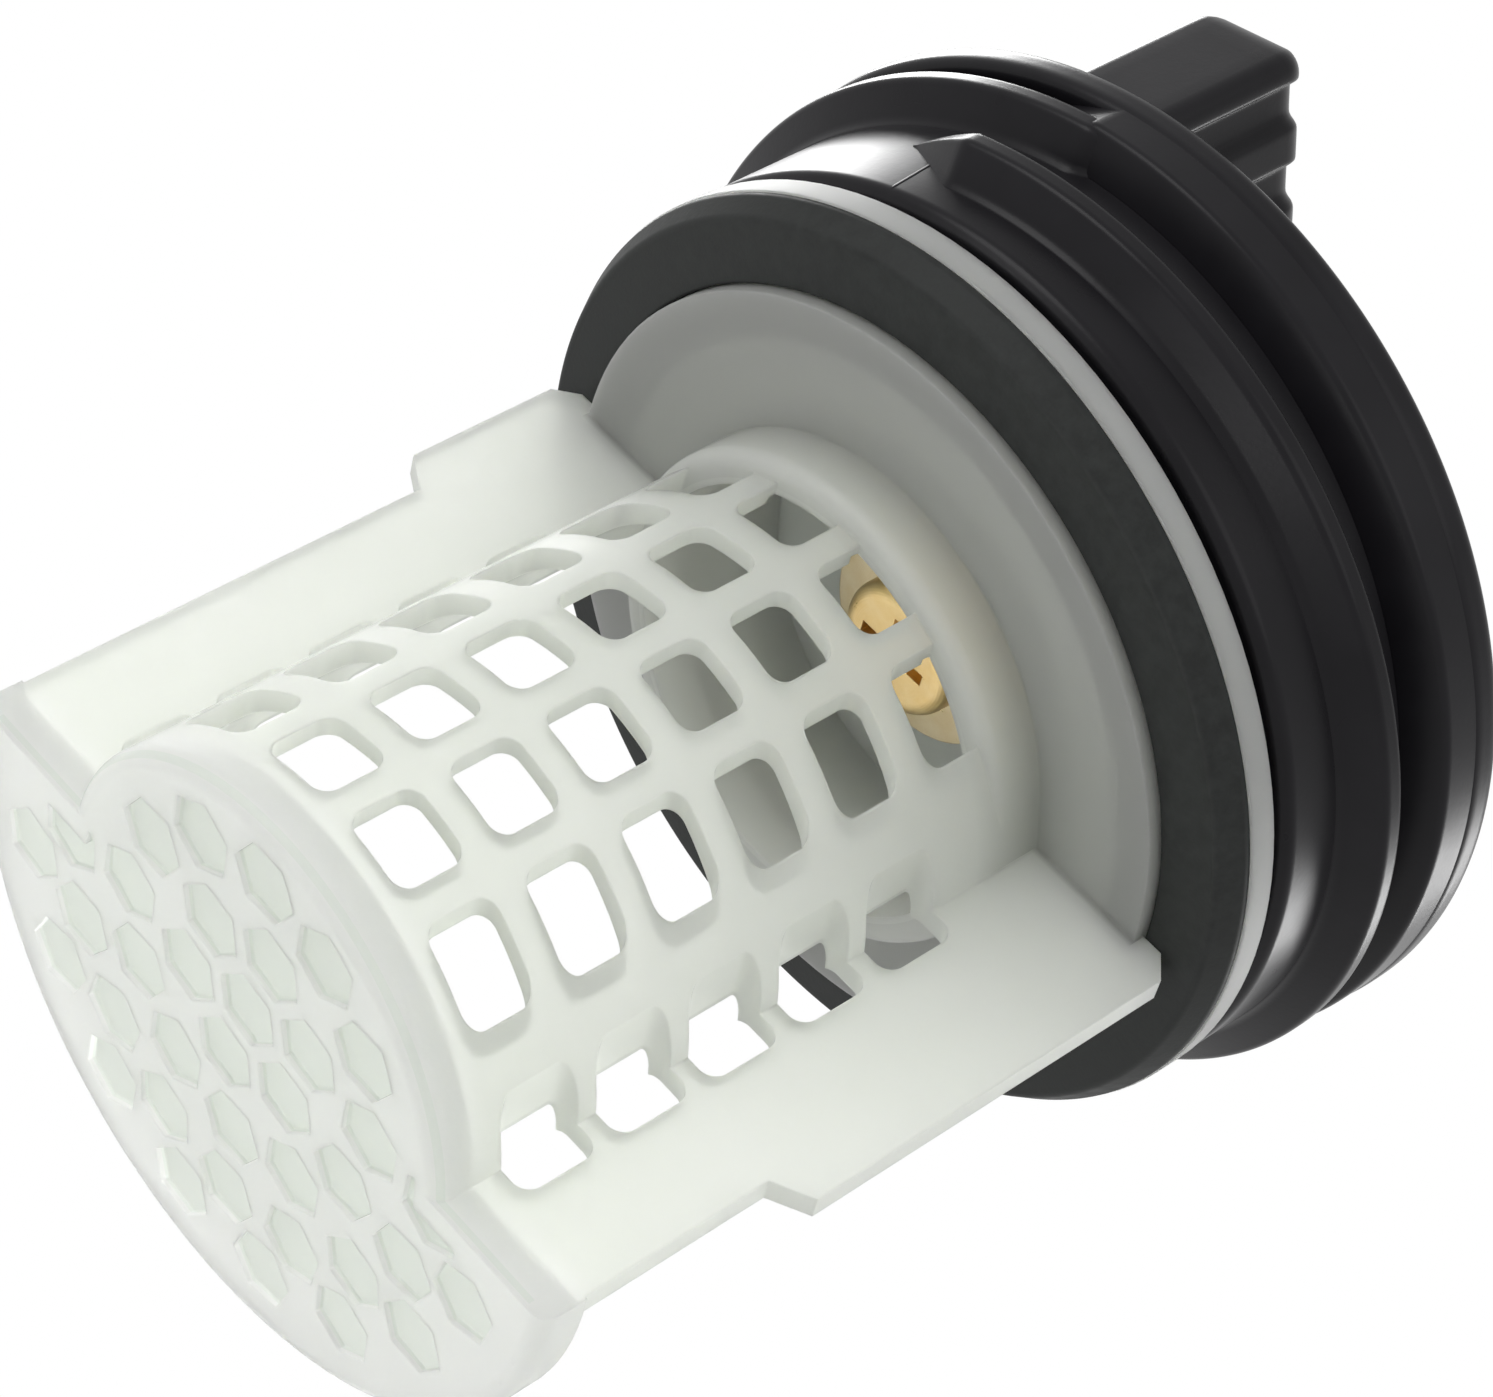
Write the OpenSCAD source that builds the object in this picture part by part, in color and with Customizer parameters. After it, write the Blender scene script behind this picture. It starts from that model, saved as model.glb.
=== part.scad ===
// Drain pump filter of a washing machine: a strainer basket that turns freely on a
// threaded cap. It stands on its end plate. Z runs along the axis, from the end plate
// to the grip, and the mesh arch faces -Y. All sizes are in millimetres.

/* [End plate] */
// Radius of the end plate
plate_r = 25; // [22:0.5:27]
// Thickness of the end plate
plate_t = 3; // [2.4:0.2:3.6]
// Radius of the rounded outer edge of the end plate
plate_edge = 1.2; // [0.6:0.1:1.6]
// Width of a honeycomb cell across its flats
cell_w = 4.3; // [3:0.1:4.5]
// Distance between two rings of honeycomb cells
cell_ring = 5.3; // [4.8:0.1:5.4]
// Distance from the last full ring of cells to the staggered outer one
cell_outer = 3.9; // [3.4:0.1:4.2]
// Angle between two cells of the two outer rings
cell_step = 21.7; // [18:0.1:22.5]
// Depth of the honeycomb cells
cell_depth = 0.5; // [0.3:0.1:1]
// Plain margin round the honeycomb
cell_margin = 0.6; // [0.4:0.1:1.5]

/* [Mesh arch] */
// Length of the basket from the end plate's face to the flange
basket_l = 44.5; // [38:0.5:52]
// Outer radius of the arch
arch_r = 16.4; // [15:0.2:18]
// Distance of the arch's centre from the filter's axis
arch_shift = 1.8; // [0:0.2:3]
// Wall of the arch
arch_wall = 1.3; // [1.1:0.1:2]
// Pitch of the windows along the axis
win_pitch = 6.6; // [6:0.1:7.5]
// Pitch of the window rows across the arch
row_pitch = 6.75; // [6:0.05:7]
// Rib left between two windows along the axis
rib_l = 2; // [1.4:0.1:2.6]
// Rib left between two windows across the axis
rib_w = 1.8; // [1.2:0.1:2.4]
// Corner radius of the windows
win_corner = 1.1; // [0.4:0.1:1.4]
// Distance from the axis's plane to the windows at the arch's foot
foot_in = 14.7; // [14.3:0.1:15]
// Width of the windows at the arch's foot
foot_w = 3.5; // [3:0.1:4.2]
// Length of the windows at the arch's foot
foot_l = 5.3; // [4.6:0.1:5.4]
// Shift of the windows at the arch's foot towards the flange
foot_shift = 0.6; // [0:0.1:1]
// Solid wall between the end plate and the first window
first_rib = 0.8; // [0.5:0.1:2]

/* [Fins and tabs] */
// Thickness of the two fins
fin_t = 1.6; // [1.4:0.1:2.6]
// Gap between the end plate's rim and the fins' outer edges
fin_inset = 0.2; // [0:0.1:1]
// Height of the guide tabs beyond the fins
tab_h = 2.4; // [1:0.2:3]
// Length of the tab on the +X fin
long_tab = 29.3; // [20:0.5:34]
// Length of the tab on the -X fin
short_tab = 13.6; // [8:0.2:18]
// Length of the ramp at the start of a tab
tab_ramp = 1.4; // [0.6:0.1:2.4]

/* [Flange and hub] */
// Radius of the front flange
disc_r = 24.3; // [23:0.1:26]
// Thickness of the front flange
disc_t = 1.5; // [1.2:0.1:2]
// Radius of the rear flange behind the seal
back_r = 29.3; // [28.8:0.1:30]
// Thickness of the rear flange
back_t = 1.8; // [1.2:0.1:2.2]
// Width of the seal groove between the flanges
groove_w = 1.5; // [1:0.1:1.8]
// Radius of the seal groove's floor
groove_r = 21; // [19:0.5:22]
// Radius of the collar where the arch meets the flange
collar_r = 15.9; // [15.3:0.1:17]
// Height of the collar
collar_h = 3.9; // [2.5:0.1:5]
// Radius of the screw recess in the hub
recess_r = 13.9; // [12:0.1:14.2]
// Wall round the screw recess
recess_wall = 2; // [1.4:0.1:3]
// Depth of the screw recess below the front flange's face
recess_depth = 7.2; // [6:0.2:9]
// Thickness of the recess floor that the pivot passes through
floor_t = 2; // [1.6:0.1:3]

/* [Seal] */
// Outer radius of the seal's lip
seal_r = 29.2; // [28.6:0.1:30]
// Radius where the seal's front face turns down to the lip
seal_knee_r = 28.3; // [26:0.1:28.4]
// Rise of the seal's front face above the groove
seal_rise = 0.7; // [0.4:0.1:1.2]
// Thickness of the lip at its edge
lip_t = 0.4; // [0.3:0.1:0.8]
// Clearance between the seal and the curved walls beside it
seal_gap = 0.1; // [0.05:0.05:0.2]

/* [Cap] */
// Running gap between the basket and the cap along the axis
run_gap = 0.3; // [0.2:0.05:0.5]
// Radius of the cap's neck behind the rear flange
neck_r = 27.8; // [27.2:0.1:28.4]
// Length of the neck
neck_l = 0.8; // [0.6:0.1:1.2]
// Outer radius of the cap's barrel
barrel_r = 29.2; // [28.8:0.1:29.8]
// Chamfer at the barrel's front edge
barrel_edge = 0.6; // [0.3:0.1:1]
// Length of the barrel, neck included, up to the rim
barrel_l = 13.6; // [13:0.2:17]
// Inner radius of the cap
cap_bore_r = 26; // [24.5:0.25:26.4]
// Thickness of the cap's end wall
end_wall = 2.8; // [2.2:0.2:4]
// Radius of the rim
rim_r = 31.8; // [31.6:0.1:33]
// Thickness of the rim
rim_t = 2.5; // [2:0.25:4]
// Radius of the rim's rounded edges
rim_edge = 0.8; // [0.4:0.1:0.9]

/* [Thread] */
// Crest radius of the thread
thread_r = 31.6; // [30.6:0.1:31.7]
// Advance of the thread in one turn
thread_lead = 6; // [5:0.25:6.5]
// Width of the ridge at its root
thread_w = 2.9; // [2:0.1:3.2]
// Distance from the cap's front face to the rear of the ridge at its start
thread_start = 6.5; // [6:0.1:7]
// Angle where the thread starts
thread_from = -120; // [-180:5:0]
// Angle that the thread runs through
thread_sweep = 388; // [300:4:392]
// Radius of the solid band where the thread runs out into the rim
band_r = 31.7; // [31:0.1:31.7]
// Width of the band in front of the rim
band_w = 3.3; // [3:0.1:3.6]
// Overlap of the thread's end with the band, in degrees
band_lap = 10; // [6:2:20]
// Angle that the band runs through
band_sweep = 132; // [60:6:150]

/* [Grip] */
// Distance of the wing's ends from the rim's edge
wing_inset = 0.6; // [0.4:0.2:8]
// Thickness of the wing grip
wing_t = 8; // [6:0.5:10]
// Height of the wing grip above the rim at its ends
wing_h = 12; // [8:0.5:20]
// Extra height of the wing grip at its middle
wing_crown = 1; // [0.4:0.1:3]
// Radius of the wing's outer corners
wing_corner = 1.6; // [1:0.2:4]
// Radius of the wing's upright edges
wing_edge = 1.2; // [0.4:0.1:2]
// Radius along the wing's back
wing_round = 2.2; // [0.6:0.1:2.6]
// Turn of the wing away from the middle of the mesh
wing_turn = -15.6; // [-180:0.1:180]
// Pitch of the finger ribs on the wing
grip_pitch = 5.6; // [4:0.1:7]
// Width of the groove between two finger ribs
grip_groove = 2.6; // [1.5:0.1:3]
// Depth of the grooves between the finger ribs
grip_depth = 0.8; // [0.3:0.1:1]
// Wall round the hollow inside the wing
wing_wall = 2.2; // [1.6:0.1:2.6]

/* [Pivot and screw] */
// Radius of the pivot that the basket turns on
pivot_r = 4; // [3.4:0.1:5]
// Clearance between the pivot and the hole in the hub
pivot_gap = 0.15; // [0.05:0.05:0.3]
// Radius of the post that carries the pivot
post_r = 8; // [6.5:0.25:9]
// Radius of the screw's shank
shank_r = 2; // [1.5:0.1:2.3]
// Length of the screw's shank
shank_l = 10; // [8:0.5:11.5]
// Radius of the screw's head
head_r = 4.4; // [3.6:0.1:5.5]
// Height of the screw's head
head_h = 2.4; // [1.8:0.1:3]
// Radius of the washer
washer_r = 7; // [6:0.25:8]
// Thickness of the washer
washer_t = 1; // [0.6:0.1:1.5]
// Clearance between the screw's shank and the holes that it passes through
screw_gap = 0.05; // [0.02:0.01:0.15]

/* [Hidden] */
$fn = 96;

// Heights along the axis, from the end plate's outer face
disc_top = basket_l + disc_t;
back_z = disc_top + groove_w;
back_top = back_z + back_t;
floor_z = basket_l + recess_depth;
floor_top = floor_z + floor_t;
cap_z = back_top + run_gap;
rim_z = cap_z + barrel_l;
rim_top = rim_z + rim_t;
wall_z = rim_top - end_wall;
pivot_z = floor_z - run_gap;
post_z = floor_top + run_gap;
fin_r = plate_r - fin_inset;
win_l = win_pitch - rib_l;
win_w = row_pitch - rib_w;
win_z = plate_t + first_rib;
win_cols = floor((basket_l - win_z) / win_pitch);
wing_l = 2 * (rim_r - wing_inset);
overlap = 0.5;
far = 4 * plate_r;

// A disc from z = 0 to z = t whose lower edge is a true round of radius e
module round_disc(r, t, e) {
    rotate_extrude() {
        square([r - e, t]);
        translate([0, e]) square([r, t - e]);
        translate([r - e, e]) circle(r = e, $fn = 24);
    }
}

// The half plane on the mesh side of the fins' front faces
module mesh_side() {
    translate([-far / 2, -far - fin_t / 2]) square([far, far]);
}

// Outline of the end plate, drawn in by d: a half disc with the arch standing on it
module plate_outline(d) {
    difference() {
        circle(r = plate_r - d);
        translate([0, d]) mesh_side();
    }
    intersection() {
        translate([0, arch_shift]) circle(r = arch_r - d);
        translate([0, overlap + d]) mesh_side();
    }
}

// One ring of cells: n cells at distance r, the first at angle a and then one every da degrees
module cell_circle(r, n, a, da) {
    for (i = [0:n - 1])
        rotate(a + i * da) translate([r, 0]) rotate(30) circle(d = cell_w / cos(30), $fn = 6);
}

// The honeycomb: full rings round the axis, then two staggered rings on the half disc
module honeycomb() {
    intersection() {
        plate_outline(plate_edge + cell_margin);
        union() {
            cell_circle(0, 1, 43, 0);
            cell_circle(cell_ring, 6, 43, 60);
            cell_circle(2 * cell_ring, 12, -1.5, 30);
            cell_circle(3 * cell_ring, 9, 90 - 4 * cell_step - 2.2, cell_step);
            cell_circle(3 * cell_ring + cell_outer, 8, 90 - 3.5 * cell_step - 2.2, cell_step);
        }
    }
}

module end_plate() {
    difference() {
        union() {
            difference() {
                round_disc(plate_r, plate_t, plate_edge);
                translate([0, 0, -overlap]) linear_extrude(plate_t + 2 * overlap) mesh_side();
            }
            intersection() {
                translate([0, arch_shift, 0]) round_disc(arch_r, plate_t, plate_edge);
                translate([0, overlap, -overlap]) linear_extrude(plate_t + 2 * overlap) mesh_side();
            }
        }
        translate([0, 0, -overlap]) linear_extrude(cell_depth + overlap) honeycomb();
    }
}

// The arch's wall and the two fins, before the windows are cut
module arch_walls() {
    translate([0, 0, plate_t - overlap]) linear_extrude(basket_l - plate_t + 2 * overlap) {
        difference() {
            translate([0, arch_shift]) circle(r = arch_r);
            translate([0, arch_shift]) circle(r = arch_r - arch_wall);
            translate([-far / 2, fin_t / 2]) square([far, far]);
        }
        for (s = [-1, 1])
            translate([s > 0 ? arch_r - arch_wall : -fin_r, -fin_t / 2])
                square([fin_r - arch_r + arch_wall, fin_t]);
    }
}

// One window w wide and l long with rounded corners, cut straight through in the mould's draw, along Y
module window(w, l) {
    translate([0, far / 2, l / 2]) rotate([90, 0, 0]) linear_extrude(far) {
        square([w - 2 * win_corner, l], center = true);
        square([w, l - 2 * win_corner], center = true);
        for (x = [-1, 1], y = [-1, 1])
            translate([x * (w / 2 - win_corner), y * (l / 2 - win_corner)])
                circle(r = win_corner, $fn = 32);
    }
}

// Four rows of windows over the arch, the last of each row partly covered by the collar,
// and one row at each foot, which also cuts the fins' roots
module windows() {
    for (j = [0:win_cols - 1]) translate([0, 0, win_z + j * win_pitch]) {
        for (i = [-1.5:1.5]) translate([i * row_pitch, 0, 0]) window(win_w, win_l);
        if (j < win_cols - 1)
            for (s = [-1, 1]) translate([s * (foot_in + foot_w / 2), 0, foot_shift]) window(foot_w, foot_l);
    }
}

// A guide tab on a fin's outer edge, with a ramp at its lower end
module tab(length) {
    top = basket_l + disc_t / 2;
    translate([0, fin_t / 2, 0]) rotate([90, 0, 0]) linear_extrude(fin_t)
        polygon([
            [fin_r - tab_h, top - length],
            [fin_r, top - length],
            [fin_r + tab_h, top - length + tab_ramp],
            [fin_r + tab_h, top - tab_ramp],
            [fin_r + tab_h - tab_ramp, top],
            [fin_r - tab_h, top]
        ]);
}

// Both flanges, the collar and the hub's cup in one profile, before the recess is cut
module hub() {
    rotate_extrude() {
        translate([0, basket_l - collar_h]) square([collar_r - 1, collar_h + overlap]);
        translate([0, basket_l - collar_h + 1]) square([collar_r, collar_h + overlap - 1]);
        translate([collar_r - 1, basket_l - collar_h + 1]) circle(r = 1, $fn = 24);
        translate([0, basket_l]) square([disc_r, disc_t]);
        translate([0, basket_l]) square([groove_r, disc_t + groove_w + back_t]);
        translate([0, back_z]) square([back_r, back_t]);
        translate([0, basket_l]) square([recess_r + recess_wall, recess_depth + floor_t]);
    }
}

// The round recess for the screw, which also trims the arch's ribs, and the hole for the pivot
module screw_recess() {
    recess_z = basket_l - collar_h - overlap;
    translate([0, 0, recess_z]) cylinder(r = recess_r, h = floor_z - recess_z);
    translate([0, 0, floor_z - overlap]) cylinder(r = pivot_r + pivot_gap, h = floor_t + 2 * overlap);
}

module strainer_basket() {
    color("#e4e8e0") difference() {
        union() {
            end_plate();
            difference() {
                arch_walls();
                windows();
            }
            tab(long_tab);
            mirror([1, 0, 0]) tab(short_tab);
            hub();
        }
        screw_recess();
    }
}

// The seal sits in the groove, stands up round the front flange and thins to its lip
module lip_seal() {
    color("#3b3d3c") rotate_extrude() polygon([
        [groove_r + seal_gap, disc_top],
        [disc_r + seal_gap, disc_top],
        [disc_r + seal_gap, disc_top - seal_rise],
        [seal_knee_r, disc_top - seal_rise / 2],
        [seal_r, back_z - lip_t],
        [seal_r, back_z],
        [groove_r + seal_gap, back_z]
    ]);
}

// Height of the ridge's rear edge at a turn of a degrees from its start
function thread_z(a) = cap_z + thread_start + thread_lead * a / 360;

// Share of the ridge's full size at a turn of a degrees: it tapers at both ends
function thread_grow(a) = max(0.3, min(1, a / 10, (thread_sweep - a) / band_lap));

// Section of the ridge as radius and height, steep at the rear and sloped at the front.
// Its root lies 1 mm inside the barrel, where the slopes are carried on in straight lines.
function thread_section(g) =
    let (h = (thread_r - barrel_r) * g, w = thread_w * g)
    [
        [barrel_r - 1, 0.1 * w / h],
        [barrel_r + h, -0.1 * w],
        [barrel_r + h, -0.55 * w],
        [barrel_r - 1, -w - 0.45 * w / h]
    ];

module thread_ridge() {
    steps = round(thread_sweep / 4);
    n = 4;
    points = [for (i = [0:steps]) let (a = thread_sweep * i / steps, s = thread_section(thread_grow(a)))
        for (p = s) [
            p[0] * cos(thread_from + a),
            p[0] * sin(thread_from + a),
            p[1] + thread_z(a)
        ]];
    sides = [for (i = [0:steps - 1], k = [0:n - 1]) let (m = (k + 1) % n) each [
        [i * n + k, (i + 1) * n + k, (i + 1) * n + m],
        [i * n + k, (i + 1) * n + m, i * n + m]
    ]];
    start_face = [[for (k = [0:n - 1]) k]];
    end_face = [[for (k = [n - 1:-1:0]) steps * n + k]];
    polyhedron(points = points, faces = concat(sides, start_face, end_face), convexity = 8);
}

// The band that fills the room between the last turn and the rim, with the ridge's front slope
module thread_band() {
    rotate([0, 0, thread_from + thread_sweep - band_lap - 360])
        rotate_extrude(angle = band_sweep)
            translate([0, rim_z])
                polygon([
                    [barrel_r - 1, -band_w],
                    [barrel_r - 0.05, -band_w],
                    [band_r, -band_w + thread_w * 0.45],
                    [band_r, overlap],
                    [barrel_r - 1, overlap]
                ]);
}

// Barrel, rim, end wall and post as one turned profile
module cap_shell() {
    neck_top = cap_z + neck_l;
    rotate_extrude() {
        translate([cap_bore_r, cap_z]) square([neck_r - cap_bore_r, neck_l + overlap]);
        polygon([
            [cap_bore_r, neck_top],
            [barrel_r - barrel_edge, neck_top],
            [barrel_r, neck_top + barrel_edge],
            [barrel_r, rim_z + overlap],
            [cap_bore_r, rim_z + overlap]
        ]);
        translate([0, rim_z]) square([rim_r - rim_edge, rim_t]);
        translate([0, rim_z + rim_edge]) square([rim_r, rim_t - 2 * rim_edge]);
        translate([rim_r - rim_edge, rim_z + rim_edge]) circle(r = rim_edge, $fn = 24);
        translate([rim_r - rim_edge, rim_top - rim_edge]) circle(r = rim_edge, $fn = 24);
        translate([0, wall_z]) square([cap_bore_r + overlap, end_wall]);
        translate([0, post_z]) square([post_r, wall_z - post_z + overlap]);
        translate([0, pivot_z]) square([pivot_r, post_z - pivot_z + overlap]);
    }
}

// Side view of the wing, with a crowned back edge and rounded outer corners
module wing_side() {
    half = wing_l / 2;
    crown_r = (half * half + wing_crown * wing_crown) / (2 * wing_crown);
    union() {
        translate([-half, -overlap]) square([wing_l, wing_h - wing_corner + overlap]);
        translate([-half + wing_corner, 0]) square([wing_l - 2 * wing_corner, wing_h]);
        for (s = [-1, 1]) translate([s * (half - wing_corner), wing_h - wing_corner]) circle(r = wing_corner);
        intersection() {
            translate([0, wing_h + wing_crown - crown_r]) circle(r = crown_r, $fn = 720);
            translate([-half + wing_corner, wing_h - 1]) square([wing_l - 2 * wing_corner, 1 + 2 * wing_crown]);
        }
    }
}

// Plan of the wing with rounded upright edges and the grooves between its finger ribs
module wing_plan() {
    count = floor((wing_l / 2 - wing_edge - grip_groove / 2) / grip_pitch);
    difference() {
        union() {
            square([wing_l - 2 * wing_edge, wing_t], center = true);
            square([wing_l, wing_t - 2 * wing_edge], center = true);
            for (x = [-1, 1], y = [-1, 1])
                translate([x * (wing_l / 2 - wing_edge), y * (wing_t / 2 - wing_edge)])
                    circle(r = wing_edge, $fn = 32);
        }
        for (i = [-count:count], s = [-1, 1])
            translate([i * grip_pitch - grip_groove / 2, s > 0 ? wing_t / 2 - grip_depth : -wing_t / 2 - grip_depth])
                square([grip_groove, 2 * grip_depth]);
    }
}

// Section across the wing, rounded along its back
module wing_section() {
    top = wing_h + wing_crown;
    translate([-wing_t / 2, -overlap]) square([wing_t, top - wing_round + overlap]);
    translate([-wing_t / 2 + wing_round, 0]) square([wing_t - 2 * wing_round, top]);
    for (s = [-1, 1]) translate([s * (wing_t / 2 - wing_round), top - wing_round]) circle(r = wing_round);
}

module wing() {
    rotate([0, 0, wing_turn - 90]) intersection() {
        translate([0, wing_t, rim_top]) rotate([90, 0, 0]) linear_extrude(2 * wing_t) wing_side();
        translate([-wing_l, 0, rim_top]) rotate([90, 0, 90]) linear_extrude(2 * wing_l) wing_section();
        translate([0, 0, rim_top - overlap]) linear_extrude(wing_h + 2 * wing_crown + overlap) wing_plan();
    }
}

// The hollow inside the wing, on both sides of the post
module wing_hollow() {
    inner_t = wing_t - 2 * (wing_wall + grip_depth) + grip_depth;
    rotate([0, 0, wing_turn - 90]) for (s = [0, 1]) mirror([s, 0, 0])
        translate([post_r + 1, -inner_t / 2, wall_z - overlap])
            cube([wing_l / 2 - wing_wall - wing_corner - post_r - 1, inner_t,
                  rim_top - wall_z + wing_h - wing_wall + overlap]);
}

module threaded_cap() {
    color("#2a2a2e") difference() {
        union() {
            cap_shell();
            thread_ridge();
            thread_band();
            wing();
        }
        wing_hollow();
        translate([0, 0, pivot_z - overlap]) cylinder(r = shank_r + screw_gap, h = shank_l + screw_gap + overlap);
    }
}

module pivot_screw() {
    head_z = pivot_z - washer_t;
    color("#c9a557") difference() {
        union() {
            translate([0, 0, head_z - head_h]) rotate_extrude() {
                square([head_r - 1, head_h]);
                translate([0, 1]) square([head_r, head_h - 1]);
                translate([head_r - 1, 1]) circle(r = 1, $fn = 24);
            }
            translate([0, 0, head_z - overlap]) cylinder(r = shank_r, h = washer_t + shank_l + overlap - 0.5);
        }
        for (a = [0, 90]) rotate([0, 0, a])
            translate([-head_r * 0.6, -0.45, head_z - head_h - overlap])
                cube([head_r * 1.2, 0.9, head_h * 0.5 + overlap]);
    }
}

module screw_washer() {
    color("#c2a878") translate([0, 0, pivot_z - washer_t]) difference() {
        cylinder(r = washer_r, h = washer_t);
        translate([0, 0, -overlap]) cylinder(r = shank_r + screw_gap, h = washer_t + 2 * overlap);
    }
}

threaded_cap();
strainer_basket();
lip_seal();
pivot_screw();
screw_washer();
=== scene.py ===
import math
import bmesh
import bpy
import numpy as np
from mathutils import Matrix, Vector


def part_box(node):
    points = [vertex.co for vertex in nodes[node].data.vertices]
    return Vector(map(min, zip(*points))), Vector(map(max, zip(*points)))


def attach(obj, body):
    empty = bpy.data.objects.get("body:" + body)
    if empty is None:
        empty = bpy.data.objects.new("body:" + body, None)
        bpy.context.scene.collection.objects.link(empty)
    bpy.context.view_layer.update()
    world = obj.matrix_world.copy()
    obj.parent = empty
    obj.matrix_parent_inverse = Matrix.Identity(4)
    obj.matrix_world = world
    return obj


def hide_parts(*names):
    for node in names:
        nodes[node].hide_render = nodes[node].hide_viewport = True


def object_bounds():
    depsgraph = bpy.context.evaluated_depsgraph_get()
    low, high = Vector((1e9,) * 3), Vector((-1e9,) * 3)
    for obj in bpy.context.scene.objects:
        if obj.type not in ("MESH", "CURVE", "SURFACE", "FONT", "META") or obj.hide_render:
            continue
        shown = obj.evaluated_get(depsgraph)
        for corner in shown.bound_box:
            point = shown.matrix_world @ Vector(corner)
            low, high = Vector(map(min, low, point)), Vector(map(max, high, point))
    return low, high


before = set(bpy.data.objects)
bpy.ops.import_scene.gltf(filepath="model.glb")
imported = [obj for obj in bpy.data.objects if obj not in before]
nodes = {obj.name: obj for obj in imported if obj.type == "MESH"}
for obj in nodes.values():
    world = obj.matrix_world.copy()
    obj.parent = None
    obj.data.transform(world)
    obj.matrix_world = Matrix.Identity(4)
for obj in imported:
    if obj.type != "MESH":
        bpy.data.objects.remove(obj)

cadBox = [list(corner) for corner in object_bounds()]
scene = bpy.context.scene
mm = 0.001


# the photograph shows the filter lying on its side, so the standing one is seen from below
cameraSet = {
    "place": (105.26, -193.67, -103.85),  # mm
    "right": (0.6500, -0.1810, 0.7380),
    "up": (-0.6415, -0.6520, 0.4046),
    "lens": 108.5,
}


def cameraAxes(s):
    right = Vector(s["right"]).normalized()
    back = right.cross(Vector(s["up"])).normalized()
    return right, back.cross(right), back


def makeCamera(s):
    data = bpy.data.cameras.new("camera")
    data.lens = s["lens"]
    data.sensor_width = 36
    data.clip_start = 0.01
    data.clip_end = 20
    camera = bpy.data.objects.new("camera", data)
    scene.collection.objects.link(camera)
    turn = Matrix(cameraAxes(s)).transposed().to_4x4()
    camera.matrix_world = Matrix.Translation(Vector(s["place"]) * mm) @ turn
    scene.camera = camera


makeCamera(cameraSet)
print("camera placed")


# one output socket; sums and products written on it become Math nodes
class Wire:
    def __init__(self, tree, socket=None):
        self.tree = tree
        self.socket = socket

    # any other node: its type, its settings, then the values or wires of its sockets
    def add(self, kind, settings=None, sockets=None, out=0):
        made = self.tree.nodes.new("ShaderNode" + kind)
        for key, value in (settings or {}).items():
            if key == "stops":
                ramp = made.color_ramp.elements
                ramp[0].position, ramp[0].color = value[0][0], (*value[0][1], 1)
                ramp[1].position, ramp[1].color = value[-1][0], (*value[-1][1], 1)
                for place, colour in value[1:-1]:
                    ramp.new(place).color = (*colour, 1)
            else:
                setattr(made, key, value)
        for key, value in (sockets or {}).items():
            slot = made.inputs[key]
            if isinstance(value, Wire):
                self.tree.links.new(value.socket, slot)
            else:
                slot.default_value = value
        return Wire(self.tree, made.outputs[out])

    def maths(self, operation, *others):
        return self.add("Math", {"operation": operation}, dict(enumerate((self, *others))))

    # a number written before this wire, as in 1 - mask
    def after(self, operation, number):
        return self.add("Math", {"operation": operation}, {0: number, 1: self})

    def __add__(self, other): return self.maths("ADD", other)
    def __radd__(self, other): return self.after("ADD", other)
    def __sub__(self, other): return self.maths("SUBTRACT", other)
    def __rsub__(self, other): return self.after("SUBTRACT", other)
    def __mul__(self, other): return self.maths("MULTIPLY", other)
    def __rmul__(self, other): return self.after("MULTIPLY", other)
    def __truediv__(self, other): return self.maths("DIVIDE", other)
    def clamp(self): return self.add("Clamp", None, {"Value": self})

    def place(self): return self.add("TexCoord", out=3)  # Object coordinates

    # distances along x, y and z, and the distance from the filter's axis
    def axes(self):
        apart = self.add("SeparateXYZ", None, {"Vector": self.place()})
        x, y, z = (Wire(self.tree, socket) for socket in apart.socket.node.outputs)
        return (x * x + y * y).maths("SQRT"), z

    def noise(self, scale, detail=3, rough=0.5, at=None):
        return self.add("TexNoise", None, {"Vector": at or self.place(), "Scale": scale,
                                           "Detail": detail, "Roughness": rough})

    # colour A where this wire is 0, colour B where it is 1; either may be a wire
    def mixed(self, colourA, colourB):
        tones = [tone if isinstance(tone, Wire) else (*tone, 1) for tone in (colourA, colourB)]
        return self.add("Mix", {"data_type": "RGBA"}, {"Factor": self, 6: tones[0], 7: tones[1]}, out=2)


# a material with one principled shader; constants stand on its own sockets
def makeMaterial(name, constants, wires):
    material = bpy.data.materials.new(name)
    material.use_nodes = True
    shader = material.node_tree.nodes["Principled BSDF"]
    for key, value in constants.items():
        shader.inputs[key].default_value = value
    pen = Wire(material.node_tree)
    for key, wire in wires(pen).items():
        material.node_tree.links.new(wire.socket, shader.inputs[key])
    return material


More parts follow.
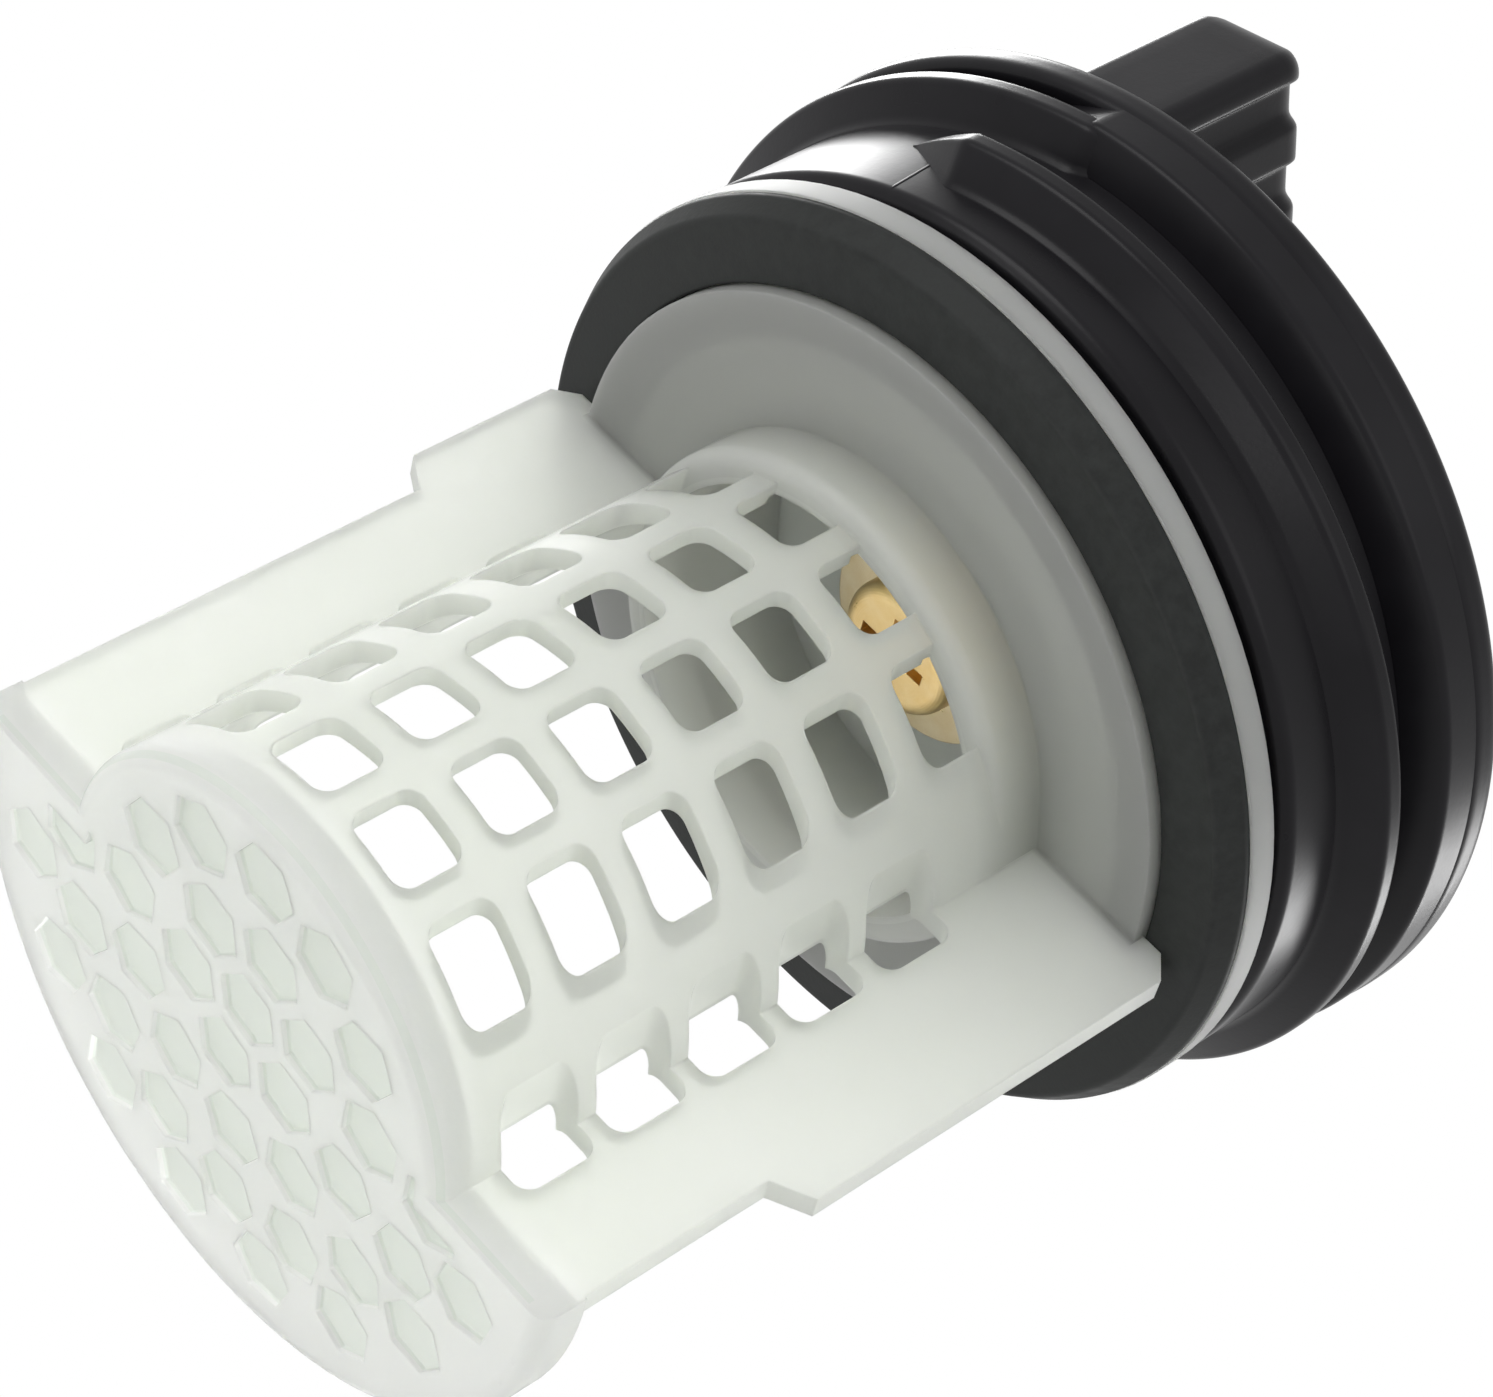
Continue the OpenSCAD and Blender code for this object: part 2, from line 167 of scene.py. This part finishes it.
basketLook = {
    "body": (0.905, 0.930, 0.868),
    "cloud": (0.870, 0.900, 0.830),  # where the moulding is a little denser
    "cell": (0.850, 0.905, 0.835),   # painted shade on the floors of the honeycomb recesses, where the plate is thinner
    "plate": (0.975, 0.990, 0.955),  # painted light: the end plate's face painted lighter
    "hub": (0.56, 0.57, 0.54),       # painted shade: the front flange and the collar painted darker where the black cap stands behind them
    "cellZ": (0.0003, 0.0007),       # heights that hold those floors, metres
    "cellR": 0.0235,
    "plateFade": 0.004,
    "flangeZ": 0.0440, "flangeR": 0.0244, "flangeFade": 0.0004,
    "collarZ": 0.0395, "collarR": (0.0143, 0.0162), "collarFade": 0.0044,
    "gloss": (0.50, 0.62),           # roughness between shiny and dull patches
    "clear": 0.66,                   # share of the light that goes straight through
    "depth": 0.0050,                 # metres that light travels in the plastic
    "edge": 0.00022,                 # softened edge, metres
}


# each mask is 1 on its own part of the basket and 0 elsewhere: painted shade on the honeycomb's floors,
# painted light on the end plate's face, and painted shade on the flange with the collar, which darkens over
# the collar's last millimetres
def basketMasks(pen, s):
    reach, z = pen.axes()
    low, high = s["cellZ"]
    inner, outer = s["collarR"]
    # painted shade on the honeycomb's floors
    cells = (z.maths("GREATER_THAN", low) * z.maths("LESS_THAN", high)
             * reach.maths("LESS_THAN", s["cellR"]))
    # painted light on the end plate's face, fading out over its first millimetres
    plate = 1 - (z / s["plateFade"]).clamp()
    # painted shade where the black cap stands behind the flange and the collar
    near = reach.maths("LESS_THAN", outer)
    start = s["flangeZ"] + (s["collarZ"] - s["flangeZ"]) * near
    fade = s["flangeFade"] + (s["collarFade"] - s["flangeFade"]) * near
    ring = (1 - reach.maths("LESS_THAN", inner)) * reach.maths("LESS_THAN", s["flangeR"])
    return cells, plate, ((z - start) / fade).clamp() * ring


def basketWires(pen):
    cloud = (pen.noise(95, 3, 0.55) * 1.9 - 0.45).clamp()
    flow = pen.noise(420, 2, 0.5)
    soft = pen.add("Bevel", {"samples": 4}, {"Radius": basketLook["edge"]})
    bump = pen.add("Bump", None, {"Strength": 0.10, "Distance": 0.0002, "Height": flow, "Normal": soft})
    low, high = basketLook["gloss"]
    plain = cloud.mixed(basketLook["body"], basketLook["cloud"])
    cells, plate, hub = basketMasks(pen, basketLook)
    return {
        # painted light and shade in the base colour: a lighter end plate, darker honeycomb floors, a dark
        # tint on the flange and collar
        "Base Color": hub.mixed(cells.mixed(plate.mixed(plain, basketLook["plate"]), basketLook["cell"]),
                                basketLook["hub"]),
        "Roughness": low + (high - low) * pen.noise(160, 3),
        "Normal": bump,
    }


basketPlastic = makeMaterial("naturalPolypropylene", {
    "IOR": 1.49, "Subsurface Weight": 1.0, "Subsurface Radius": (1.0, 1.0, 0.95),
    "Subsurface Scale": basketLook["depth"], "Specular IOR Level": 0.45,
    "Transmission Weight": basketLook["clear"],
}, basketWires)


capLook = {
    "black": (0.0055, 0.0050, 0.0062),
    "worn": (0.0105, 0.0100, 0.0118),
    "gloss": (0.24, 0.36),
    "shine": 0.13,
}


def capWires(pen):
    patches = (pen.noise(70, 4, 0.6) * 2.2 - 0.6).clamp()
    grain = pen.noise(2600, 2, 0.6)
    bump = pen.add("Bump", None, {"Strength": 0.12, "Distance": 0.00004, "Height": grain})
    low, high = capLook["gloss"]
    return {
        "Base Color": patches.mixed(capLook["black"], capLook["worn"]),
        "Roughness": low + (high - low) * patches,
        "Normal": bump,
    }


capPlastic = makeMaterial("blackCapPlastic", {"IOR": 1.5, "Specular IOR Level": capLook["shine"]}, capWires)


sealLook = {
    "rubber": (0.012, 0.013, 0.0125),
    "dusty": (0.022, 0.024, 0.023),
    "gloss": (0.52, 0.68),
}


def sealWires(pen):
    dust = (pen.noise(900, 4, 0.7) * 2.4 - 0.9).clamp()
    grain = pen.noise(3400, 2, 0.6)
    bump = pen.add("Bump", None, {"Strength": 0.2, "Distance": 0.00005, "Height": grain})
    low, high = sealLook["gloss"]
    return {
        "Base Color": dust.mixed(sealLook["rubber"], sealLook["dusty"]),
        "Roughness": low + (high - low) * dust,
        "Normal": bump,
    }


sealRubber = makeMaterial("sealRubber", {"IOR": 1.5, "Specular IOR Level": 0.16}, sealWires)


metalLook = {
    "yellowZinc": ((0.72, 0.50, 0.20), (0.80, 0.62, 0.32)),
    "dullZinc": ((0.62, 0.48, 0.26), (0.72, 0.62, 0.44)),
    "edge": 0.00012,
    "rings": 42000,
}


# plated metal: two tones in clouds, fine turning marks round the axis
def metalWires(tones):
    def wires(pen):
        reach, _ = pen.axes()
        rings = (reach * metalLook["rings"]).maths("SINE")
        clouds = (pen.noise(600, 4, 0.6) * 2 - 0.5).clamp()
        soft = pen.add("Bevel", {"samples": 4}, {"Radius": metalLook["edge"]})
        bump = pen.add("Bump", None, {"Strength": 0.15, "Distance": 0.00002, "Height": rings, "Normal": soft})
        return {
            "Base Color": clouds.mixed(*tones),
            "Roughness": 0.24 + 0.18 * clouds,
            "Normal": bump,
        }
    return wires


screwMetal = makeMaterial("yellowZincPlate", {"Metallic": 1.0}, metalWires(metalLook["yellowZinc"]))
washerMetal = makeMaterial("dullZincPlate", {"Metallic": 1.0}, metalWires(metalLook["dullZinc"]))

nodeFinish = {
    "strainer_basket": basketPlastic,
    "pivot_screw": screwMetal,
    "screw_washer": washerMetal,
    "threaded_cap": capPlastic,
    "lip_seal": sealRubber,
}
for name, material in nodeFinish.items():
    mesh = nodes[name].data
    mesh.materials.clear()
    mesh.materials.append(material)
print("materials made:", len(nodeFinish))


# every corner is cut back by its rounding and bridged with a quadratic curve;
# corners run along the last but one axis as (radius, height), rounding has one value each
def roundCorners(corners, rounding, steps=6, closed=True):
    before = np.roll(corners, 1, axis=-2) - corners
    after = np.roll(corners, -1, axis=-2) - corners
    before /= np.linalg.norm(before, axis=-1, keepdims=True) + 1e-12
    after /= np.linalg.norm(after, axis=-1, keepdims=True) + 1e-12
    back = np.asarray(rounding, float)[..., None]
    start, end = corners + before * back, corners + after * back
    t = np.linspace(0, 1, steps + 1)[:, None]
    curve = ((1 - t) ** 2 * start[..., None, :] + 2 * t * (1 - t) * corners[..., None, :]
             + t ** 2 * end[..., None, :])
    # one more point a little outside each end keeps the flat beside it flat
    support = back * 0.18
    first = (start + before * support)[..., None, :]
    last = (end + after * support)[..., None, :]
    ring = np.concatenate([first, curve, last], axis=-2)
    ring = ring.reshape(*corners.shape[:-2], -1, 2)
    return ring if closed else ring[..., steps // 2 + 1:-(steps // 2 + 1), :]


# a grid of points (rows, columns, xyz) becomes quads; wrapRows and wrapColumns join it to itself,
# doubles are merged so that poles close, and the faces are turned outwards
def gridPiece(name, points, wrapRows, wrapColumns, material, body, sharp=50):
    rows, columns = points.shape[:2]
    index = np.arange(rows * columns).reshape(rows, columns)
    if wrapRows:
        index = np.vstack([index, index[:1]])
    if wrapColumns:
        index = np.hstack([index, index[:, :1]])
    quads = np.stack([index[:-1, :-1], index[:-1, 1:], index[1:, 1:], index[1:, :-1]], axis=-1)
    mesh = bpy.data.meshes.new(name)
    mesh.from_pydata((points.reshape(-1, 3) * mm).tolist(), [], quads.reshape(-1, 4).tolist())
    work = bmesh.new()
    work.from_mesh(mesh)
    bmesh.ops.remove_doubles(work, verts=work.verts, dist=1e-7)
    bmesh.ops.recalc_face_normals(work, faces=work.faces)
    work.to_mesh(mesh)
    work.free()
    mesh.shade_smooth()
    mesh.set_sharp_from_angle(angle=math.radians(sharp))
    mesh.materials.append(material)
    piece = bpy.data.objects.new(name, mesh)
    scene.collection.objects.link(piece)
    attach(piece, body)
    print(name, "faces:", len(mesh.polygons))
    return piece


# point (radius, height) at angle a goes to (radius cos a, radius sin a, height)
def swing(sections, angles):
    radius, height = sections[..., 0], sections[..., 1]
    a = np.radians(angles)[:, None]
    return np.stack([radius * np.cos(a), radius * np.sin(a), height + 0 * a], axis=-1)


def revolve(profile, steps=288):
    angles = np.arange(steps) * 360 / steps
    return swing(np.broadcast_to(profile, (steps, *profile.shape)), angles)


boxes = {name: [Vector(corner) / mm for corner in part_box(name)] for name in nodes}
capLow, capHigh = boxes["threaded_cap"]
sealLow, sealHigh = boxes["lip_seal"]

capSet = {
    "neckR": 27.8, "neckL": 0.8, "barrelR": 29.2, "barrelEdge": 0.6, "boreR": 26.0,
    "rimT": 2.5, "rimEdge": 0.8, "endWall": 2.8, "wingH": 12.0, "wingCrown": 1.0,
    "postR": 8.0, "pivotR": 4.0, "runGap": 0.3,
}
rimR = capHigh.x
rimTop = capHigh.z - capSet["wingH"] - capSet["wingCrown"]
rimZ = rimTop - capSet["rimT"]
frontZ = capLow.z
pivotZ = boxes["screw_washer"][1].z
postZ = boxes["strainer_basket"][1].z + capSet["runGap"]


# the cap's body is one closed outline of corners, rounded and turned once round the axis
def capBody(s):
    neckTop = frontZ + s["neckL"]
    wallZ = rimTop - s["endWall"]
    corners = np.array([
        (0.0, pivotZ), (s["pivotR"], pivotZ), (s["pivotR"], postZ),
        (s["postR"], postZ), (s["postR"], wallZ), (s["boreR"], wallZ), (s["boreR"], frontZ),
        (s["neckR"], frontZ), (s["neckR"], neckTop), (s["barrelR"] - s["barrelEdge"], neckTop),
        (s["barrelR"], neckTop + s["barrelEdge"]), (s["barrelR"], rimZ), (rimR, rimZ),
        (rimR, rimTop), (0.0, rimTop)])
    rounding = [0, 0.3, 0.3, 0.4, 0.8, 1.2, 0.15, 0.2, 0.25, 0.2, 0.35, 0.35,
                s["rimEdge"] * 1.15, s["rimEdge"] * 1.15, 0]
    return revolve(roundCorners(corners, rounding, 8))


capPieces = [gridPiece("cap_body", capBody(capSet), True, True, capPlastic, "cap")]


threadSet = {
    "crestR": 31.6, "lead": 6.0, "width": 2.9, "start": 6.5, "from": -120, "sweep": 388,
    "bandR": 31.7, "bandW": 3.3, "bandLap": 10, "bandSweep": 132, "bandGrow": 16,
}


# the ridge's section is carried along the helix: height = start + lead * turn, and its size
# grows from a point over the first degrees and sinks into the band over the last
def threadRidge(s, barrelR):
    turn = np.linspace(0, s["sweep"], 520)
    grow = np.clip(np.minimum(turn / 11, (s["sweep"] - turn) / s["bandLap"]), 0.03, 1)
    h, w = (s["crestR"] - barrelR) * grow, s["width"] * grow
    flat = 0 * grow
    corners = np.stack([
        np.stack([flat + barrelR - 0.7, flat + 0.45], -1),
        np.stack([flat + barrelR, 0.30 * grow], -1),
        np.stack([barrelR + 0.22 * h, -0.01 * w], -1),
        np.stack([barrelR + h, -0.10 * w], -1),
        np.stack([barrelR + h, -0.55 * w], -1),
        np.stack([barrelR + 0.12 * h, -0.98 * w], -1),
        np.stack([flat + barrelR, -w - 0.35 * grow], -1),
        np.stack([flat + barrelR - 0.7, -w - 0.5], -1),
    ], axis=1)
    soft = np.array([0, 0.10, 0.20, 0.34, 0.34, 0.25, 0.15, 0]) * grow[:, None]
    ring = roundCorners(corners, soft, 5)
    ring[..., 1] += (frontZ + s["start"] + s["lead"] * turn / 360)[:, None]
    points = swing(ring, s["from"] + turn)
    # both ends close on the middle of their section
    ends = [np.broadcast_to(points[i].mean(axis=0), points[i].shape)[None] for i in (0, -1)]
    return np.concatenate([ends[0], points, ends[1]])


capPieces.append(gridPiece("thread_ridge", threadRidge(threadSet, capSet["barrelR"]), False, True,
                           capPlastic, "cap"))


# the band that closes the groove in front of the rim, rising out of the barrel at both ends
def threadBand(s, barrelR):
    turn = np.linspace(-s["bandGrow"], s["bandSweep"], 260)
    grow = np.clip((turn + s["bandGrow"]) / s["bandGrow"], 0.02, 1)
    grow = np.minimum(grow, np.clip((s["bandSweep"] - turn) / 4, 0.02, 1))
    top = barrelR + (s["bandR"] - barrelR) * grow
    flat = 0 * grow
    slope = s["width"] * 0.45
    corners = np.stack([
        np.stack([flat + barrelR - 0.7, flat - s["bandW"]], -1),
        np.stack([flat + barrelR, flat - s["bandW"]], -1),
        np.stack([top, -s["bandW"] + slope * grow], -1),
        np.stack([top, flat + 0.6], -1),
        np.stack([flat + barrelR - 0.7, flat + 0.6], -1),
    ], axis=1)
    ring = roundCorners(corners, np.array([0, 0.1, 0.34, 0, 0]) * grow[:, None], 5)
    ring[..., 1] += rimZ
    points = swing(ring, s["from"] + s["sweep"] - s["bandLap"] - 360 + turn)
    ends = [np.broadcast_to(points[i].mean(axis=0), points[i].shape)[None] for i in (0, -1)]
    return np.concatenate([ends[0], points, ends[1]])


capPieces.append(gridPiece("thread_runout", threadBand(threadSet, capSet["barrelR"]), False, True,
                           capPlastic, "cap"))


wingSet = {
    "inset": 0.6, "thick": 8.0, "edge": 1.2, "backRound": 2.2, "corner": 1.6, "turn": -105.6,
    "pitch": 5.6, "groove": 2.6, "depth": 0.8, "count": 5,
}


# the wing's plan is a rounded bar with a smooth dip for every finger groove; it is carried up,
# drawn in along a quarter ellipse at the back, and closed on its middle line at both ends
def wingSurface(s, h, crown):
    half, side = rimR - s["inset"], s["thick"] / 2
    long = np.linspace(-half + s["edge"], half - s["edge"], 321)
    arc = np.linspace(0, math.pi / 2, 9)[1:-1]
    e = s["edge"]
    near = np.abs(long[:, None] - np.arange(-s["count"], s["count"] + 1) * s["pitch"]).min(axis=1)
    dip = s["depth"] / (1 + np.exp((near - s["groove"] / 2) * 9))
    low = np.stack([long, -side + dip], -1)
    endRight = np.concatenate([
        np.stack([half - e + e * np.sin(arc), -side + e - e * np.cos(arc)], -1),
        np.stack([np.full(7, half), np.linspace(-side + e, side - e, 7)], -1),
        np.stack([half - e + e * np.cos(arc), side - e + e * np.sin(arc)], -1)])
    high = -low
    plan = np.concatenate([low, endRight, high, -endRight])
    rise = np.linspace(0, 1, 10)
    bow = np.linspace(0, math.pi / 2, 10)[1:]
    # rows: middle line, outline going up, rounded back, middle line again
    drawX = np.concatenate([[0, 0], 0 * rise, s["corner"] * (1 - np.cos(bow)), [s["corner"]]])
    drawY = np.concatenate([[side, 0.5 * side], 0 * rise, s["backRound"] * (1 - np.cos(bow)), [side]])
    drop = np.concatenate([0 * rise, s["backRound"] * (1 - np.sin(bow)), [0]])
    x = plan[:, 0] * (1 - drawX[:, None] / half)
    y = plan[:, 1] * (1 - np.clip(drawY[:, None] / side, 0, 1))
    top = h + crown * (1 - (x[2:] / half) ** 2)
    up = np.concatenate([rise * 0, 0 * bow + 1, [1]])
    z = np.empty_like(x)
    z[:2] = -0.6
    z[2:12] = -0.6 + (top[:10] - s["backRound"] + 0.6) * rise[:, None]
    z[12:] = top[10:] - drop[10:, None]
    turn = math.radians(s["turn"])
    return np.stack([x * math.cos(turn) - y * math.sin(turn),
                     x * math.sin(turn) + y * math.cos(turn), rimTop + z], axis=-1)


capPieces.append(gridPiece("wing_grip", wingSurface(wingSet, capSet["wingH"], capSet["wingCrown"]),
                           False, True, capPlastic, "cap", 60))


lineSet = {"angle": -113.4, "slant": -0.25, "width": 0.13, "height": 0.05, "from": 1.5, "to": 6.9}


# the faint bead that the mould's joint left on the barrel: an ellipse carried along the axis
def mouldLine(s, barrelR):
    along = np.linspace(0, 1, 60)[:, None]
    about = np.linspace(0, 2 * math.pi, 12, endpoint=False)
    grow = np.sqrt(np.clip(np.minimum(along, 1 - along) / 0.06, 0, 1))
    z = s["from"] + (s["to"] - s["from"]) * along + 0 * about
    radius = barrelR - 0.01 + s["height"] * grow * np.cos(about)
    a = np.radians(s["angle"] + s["slant"] * (z - s["from"])) + s["width"] * grow * np.sin(about) / barrelR
    return np.stack([radius * np.cos(a), radius * np.sin(a), frontZ + z], axis=-1)


capPieces.append(gridPiece("mould_line", mouldLine(lineSet, capSet["barrelR"]), False, True,
                           capPlastic, "cap"))
for piece in capPieces:
    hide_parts("threaded_cap")


sealSet = {
    "innerR": 21.1, "standR": 24.4, "rise": 0.7, "kneeR": 28.3, "lip": 0.4, "soft": 0.22,
}


# the seal is a closed outline as well: flat root, raised collar, front slope, knee and side band
def sealRing(s):
    top, low, lipR = sealHigh.z, sealLow.z, sealHigh.x
    corners = np.array([
        (s["innerR"], low + s["rise"]), (s["standR"], low + s["rise"]), (s["standR"], low),
        (s["kneeR"], low + s["rise"] / 2), (lipR, top - s["lip"]), (lipR, top), (s["innerR"], top)])
    return revolve(roundCorners(corners, [0, 0.1, s["soft"], 0.3, 0.15, 0.1, 0], 6))


seal = gridPiece("seal_ring", sealRing(sealSet), True, True, sealRubber, "basket")
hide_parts("lip_seal")


stageSet = {
    "floorSize": 1.6, "floorColour": (0.86, 0.865, 0.86), "worldFill": 0.76,
    # name: (right, up, back) from the object's middle in metres, size, watts
    "lamps": {
        "keyLamp": ((-0.35, 0.55, 0.45), 0.50, 2.6),
        "fillLamp": ((0.55, 0.10, 0.50), 0.60, 1.0),
        "rearLamp": ((-0.06, 0.42, -0.52), 0.28, 2.2),
        "sideLamp": ((0.46, -0.34, -0.42), 0.20, 1.0),
        "plateLamp": ((-0.50, -0.28, 0.37), 0.30, 1.1),
    },
}


# the floor is seen from above only, and lets the lamps below it through
def makeFloor(s):
    half = s["floorSize"] / 2
    mesh = bpy.data.meshes.new("floor")
    corners = [(-half, -half, 0), (half, -half, 0), (half, half, 0), (-half, half, 0)]
    mesh.from_pydata(corners, [], [(0, 1, 2, 3)])
    floor = bpy.data.objects.new("floor", mesh)
    scene.collection.objects.link(floor)
    floor.visible_shadow = floor.visible_diffuse = floor.visible_glossy = floor.visible_transmission = False
    material = makeMaterial("paleFloor", {"Roughness": 0.9, "Specular IOR Level": 0.1}, lambda pen: {
        "Base Color": pen.noise(3, 2).mixed(s["floorColour"], tuple(v + 0.01 for v in s["floorColour"]))})
    tree = material.node_tree
    pen = Wire(tree)
    shader = Wire(tree, tree.nodes["Principled BSDF"].outputs[0])
    under = pen.add("NewGeometry", out=6)
    both = pen.add("MixShader", None, {0: under, 1: shader, 2: pen.add("BsdfTransparent")})
    tree.links.new(both.socket, tree.nodes["Material Output"].inputs["Surface"])
    mesh.materials.append(material)


# white for the camera, reflections and what is seen through plastic, softer for the shading
def makeWorld(s):
    world = bpy.data.worlds.new("world")
    world.use_nodes = True
    scene.world = world
    pen = Wire(world.node_tree)
    rays = {name: pen.add("LightPath", out=place)
            for name, place in (("camera", 0), ("glossy", 3), ("transmission", 6))}
    seen = (rays["camera"] + rays["glossy"] + rays["transmission"]).clamp()
    strength = s["worldFill"] + (1 - s["worldFill"]) * seen
    background = world.node_tree.nodes["Background"]
    background.inputs["Color"].default_value = (1, 1, 1, 1)
    world.node_tree.links.new(strength.socket, background.inputs["Strength"])


def makeLamps(s):
    right, up, back = cameraAxes(cameraSet)
    middle = (Vector(cadBox[0]) + Vector(cadBox[1])) / 2
    for name, (offset, size, watts) in s["lamps"].items():
        data = bpy.data.lights.new(name, "AREA")
        data.shape = "DISK"
        data.size = size
        data.energy = watts
        lamp = bpy.data.objects.new(name, data)
        scene.collection.objects.link(lamp)
        lamp.location = middle + right * offset[0] + up * offset[1] + back * offset[2]
        lamp.rotation_euler = (lamp.location - middle).to_track_quat("Z", "Y").to_euler()


makeFloor(stageSet)
makeWorld(stageSet)
makeLamps(stageSet)
scene.view_settings.view_transform = "Standard"
print("floor, world and lamps made")
